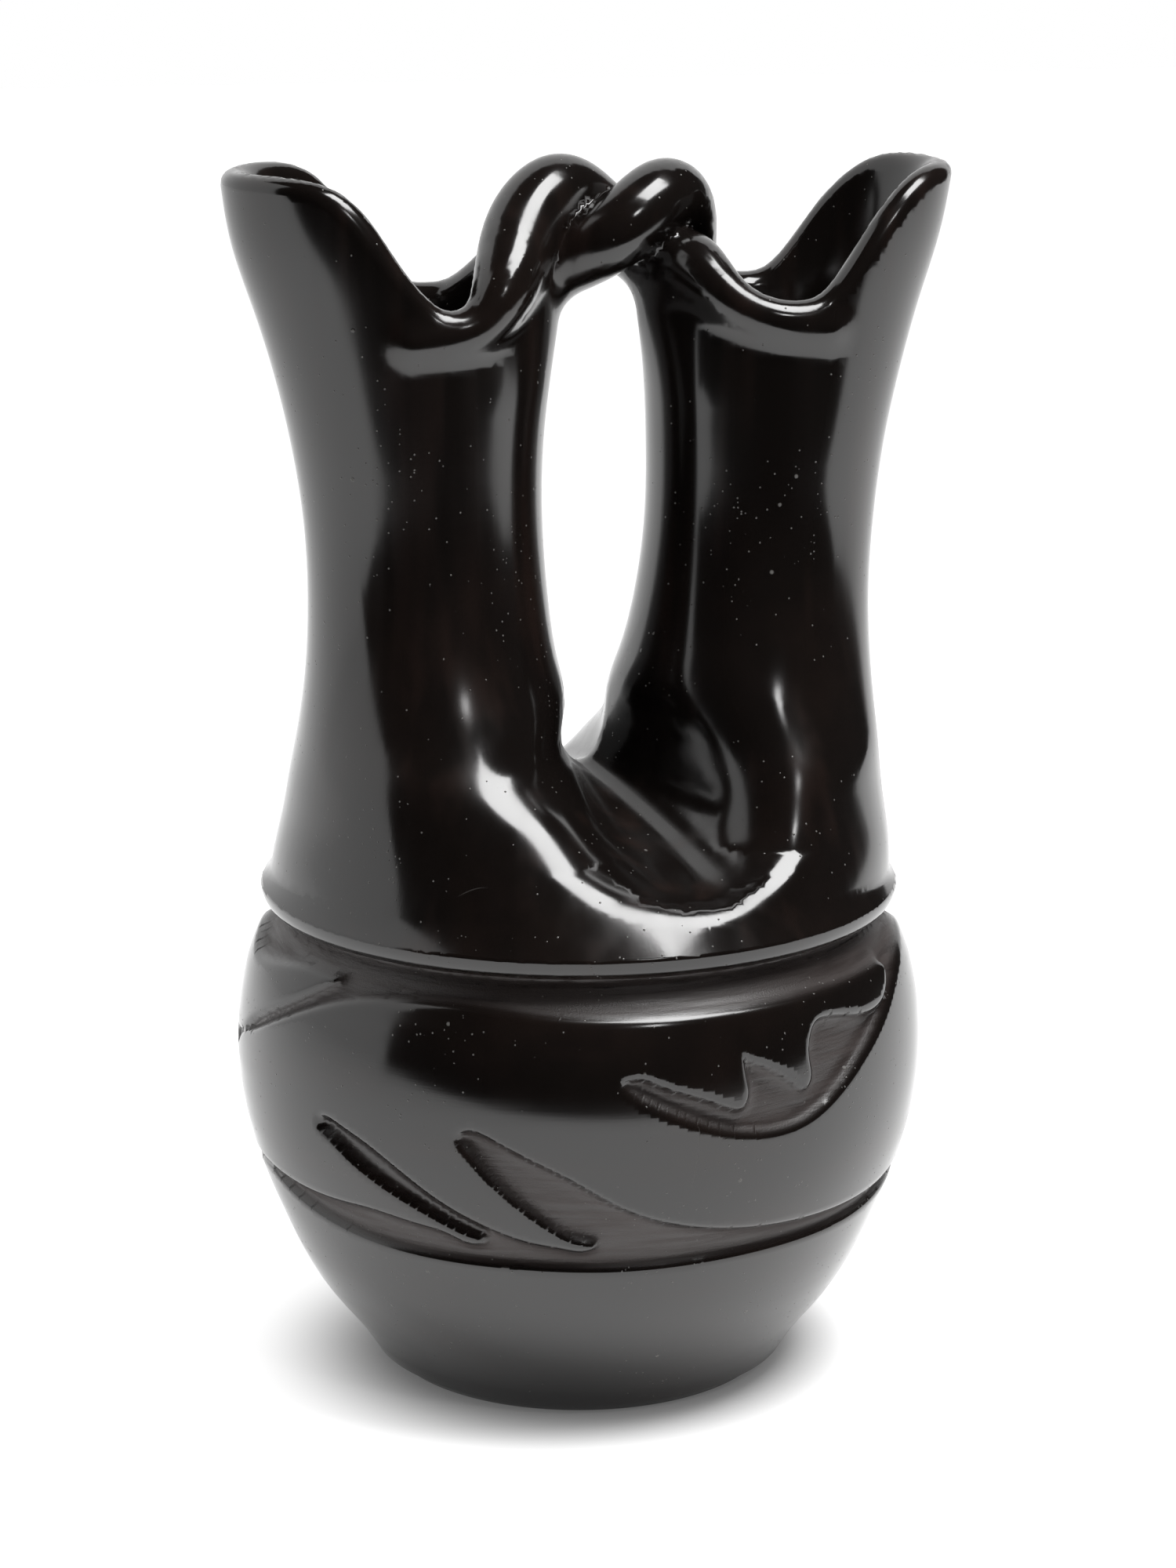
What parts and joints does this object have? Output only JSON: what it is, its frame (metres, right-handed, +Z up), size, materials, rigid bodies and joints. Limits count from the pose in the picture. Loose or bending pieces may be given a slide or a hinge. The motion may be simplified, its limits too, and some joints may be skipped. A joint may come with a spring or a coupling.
{
  "type": "wedding vase",
  "caption": "Hand-built black clay vase whose yoke divides into two flaring spouts joined by a twisted handle, with a carved belt round the belly.",
  "frame": {"origin": "centre of the flat foot, on the surface that the vase stands on", "axes": "+Z up through the middle of the belly, X through both spouts with the wider gap side at +X, -Y is the front in the picture"},
  "size_m": [0.1409, 0.1356, 0.24],
  "materials": {
    "burnished_clay": "burnished black, carved ground matte"
  },
  "bodies": {
    "root": {"vase": "burnished_clay"}
  },
  "joints": []
}
